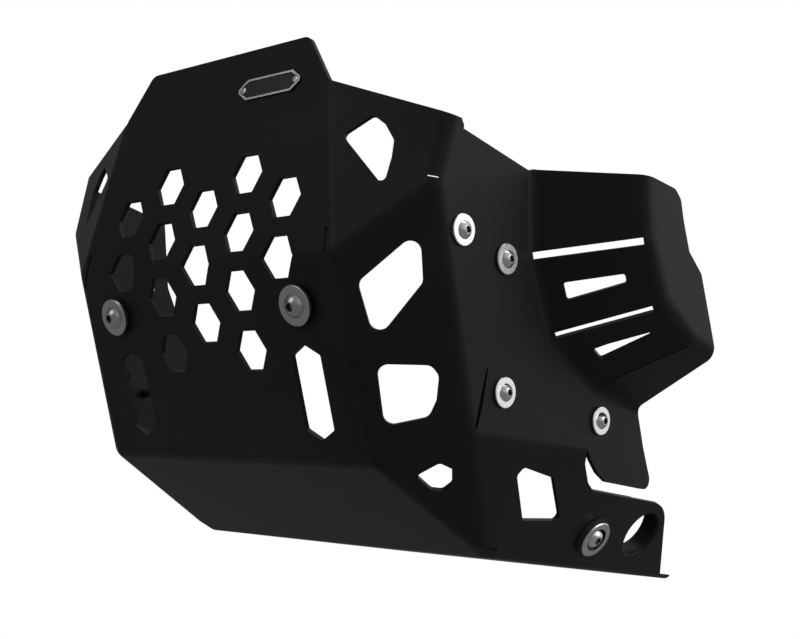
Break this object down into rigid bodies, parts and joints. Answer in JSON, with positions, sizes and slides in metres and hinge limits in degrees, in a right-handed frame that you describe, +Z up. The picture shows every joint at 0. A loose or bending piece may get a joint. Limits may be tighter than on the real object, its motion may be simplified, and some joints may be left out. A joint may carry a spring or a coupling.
{
  "type": "motorcycle engine guard",
  "caption": "Folded sheet guard for the front and underside of an engine, with hexagonal holes, a side bulge, and its screws, washers and rubber mounts.",
  "frame": {"origin": "middle of the flat underside, halfway along it from front to back", "axes": "+Z up, -Y towards the motorcycle's front, +X towards its left side"},
  "size_m": [0.4013, 0.3614, 0.2895],
  "materials": {
    "powder_coat": "satin black powder coat",
    "steel": "polished",
    "rubber": "matte",
    "badge": "bright rim with a dark field"
  },
  "bodies": {
    "root": {"main_plate": "powder_coat", "badge_plate": "badge", "badge_rivet_1": "steel", "badge_rivet_2": "steel", "front_bush_left": "rubber", "front_sleeve_left": "steel", "front_washer_left": "steel", "front_screw_left": "steel", "side_washer_left_1": "steel", "side_washer_left_2": "steel", "side_washer_left_3": "steel", "side_washer_left_4": "steel", "side_screw_left_1": "steel", "side_screw_left_2": "steel", "side_screw_left_3": "steel", "side_screw_left_4": "steel", "lower_grommet_left": "rubber", "lower_cup_washer_left": "steel", "lower_screw_left": "steel", "front_bush_right": "rubber", "front_sleeve_right": "steel", "front_washer_right": "steel", "front_screw_right": "steel", "side_washer_right_1": "steel", "side_washer_right_2": "steel", "side_washer_right_3": "steel", "side_washer_right_4": "steel", "side_screw_right_1": "steel", "side_screw_right_2": "steel", "side_screw_right_3": "steel", "side_screw_right_4": "steel", "lower_grommet_right": "rubber", "lower_cup_washer_right": "steel", "lower_screw_right": "steel"}
  },
  "joints": []
}
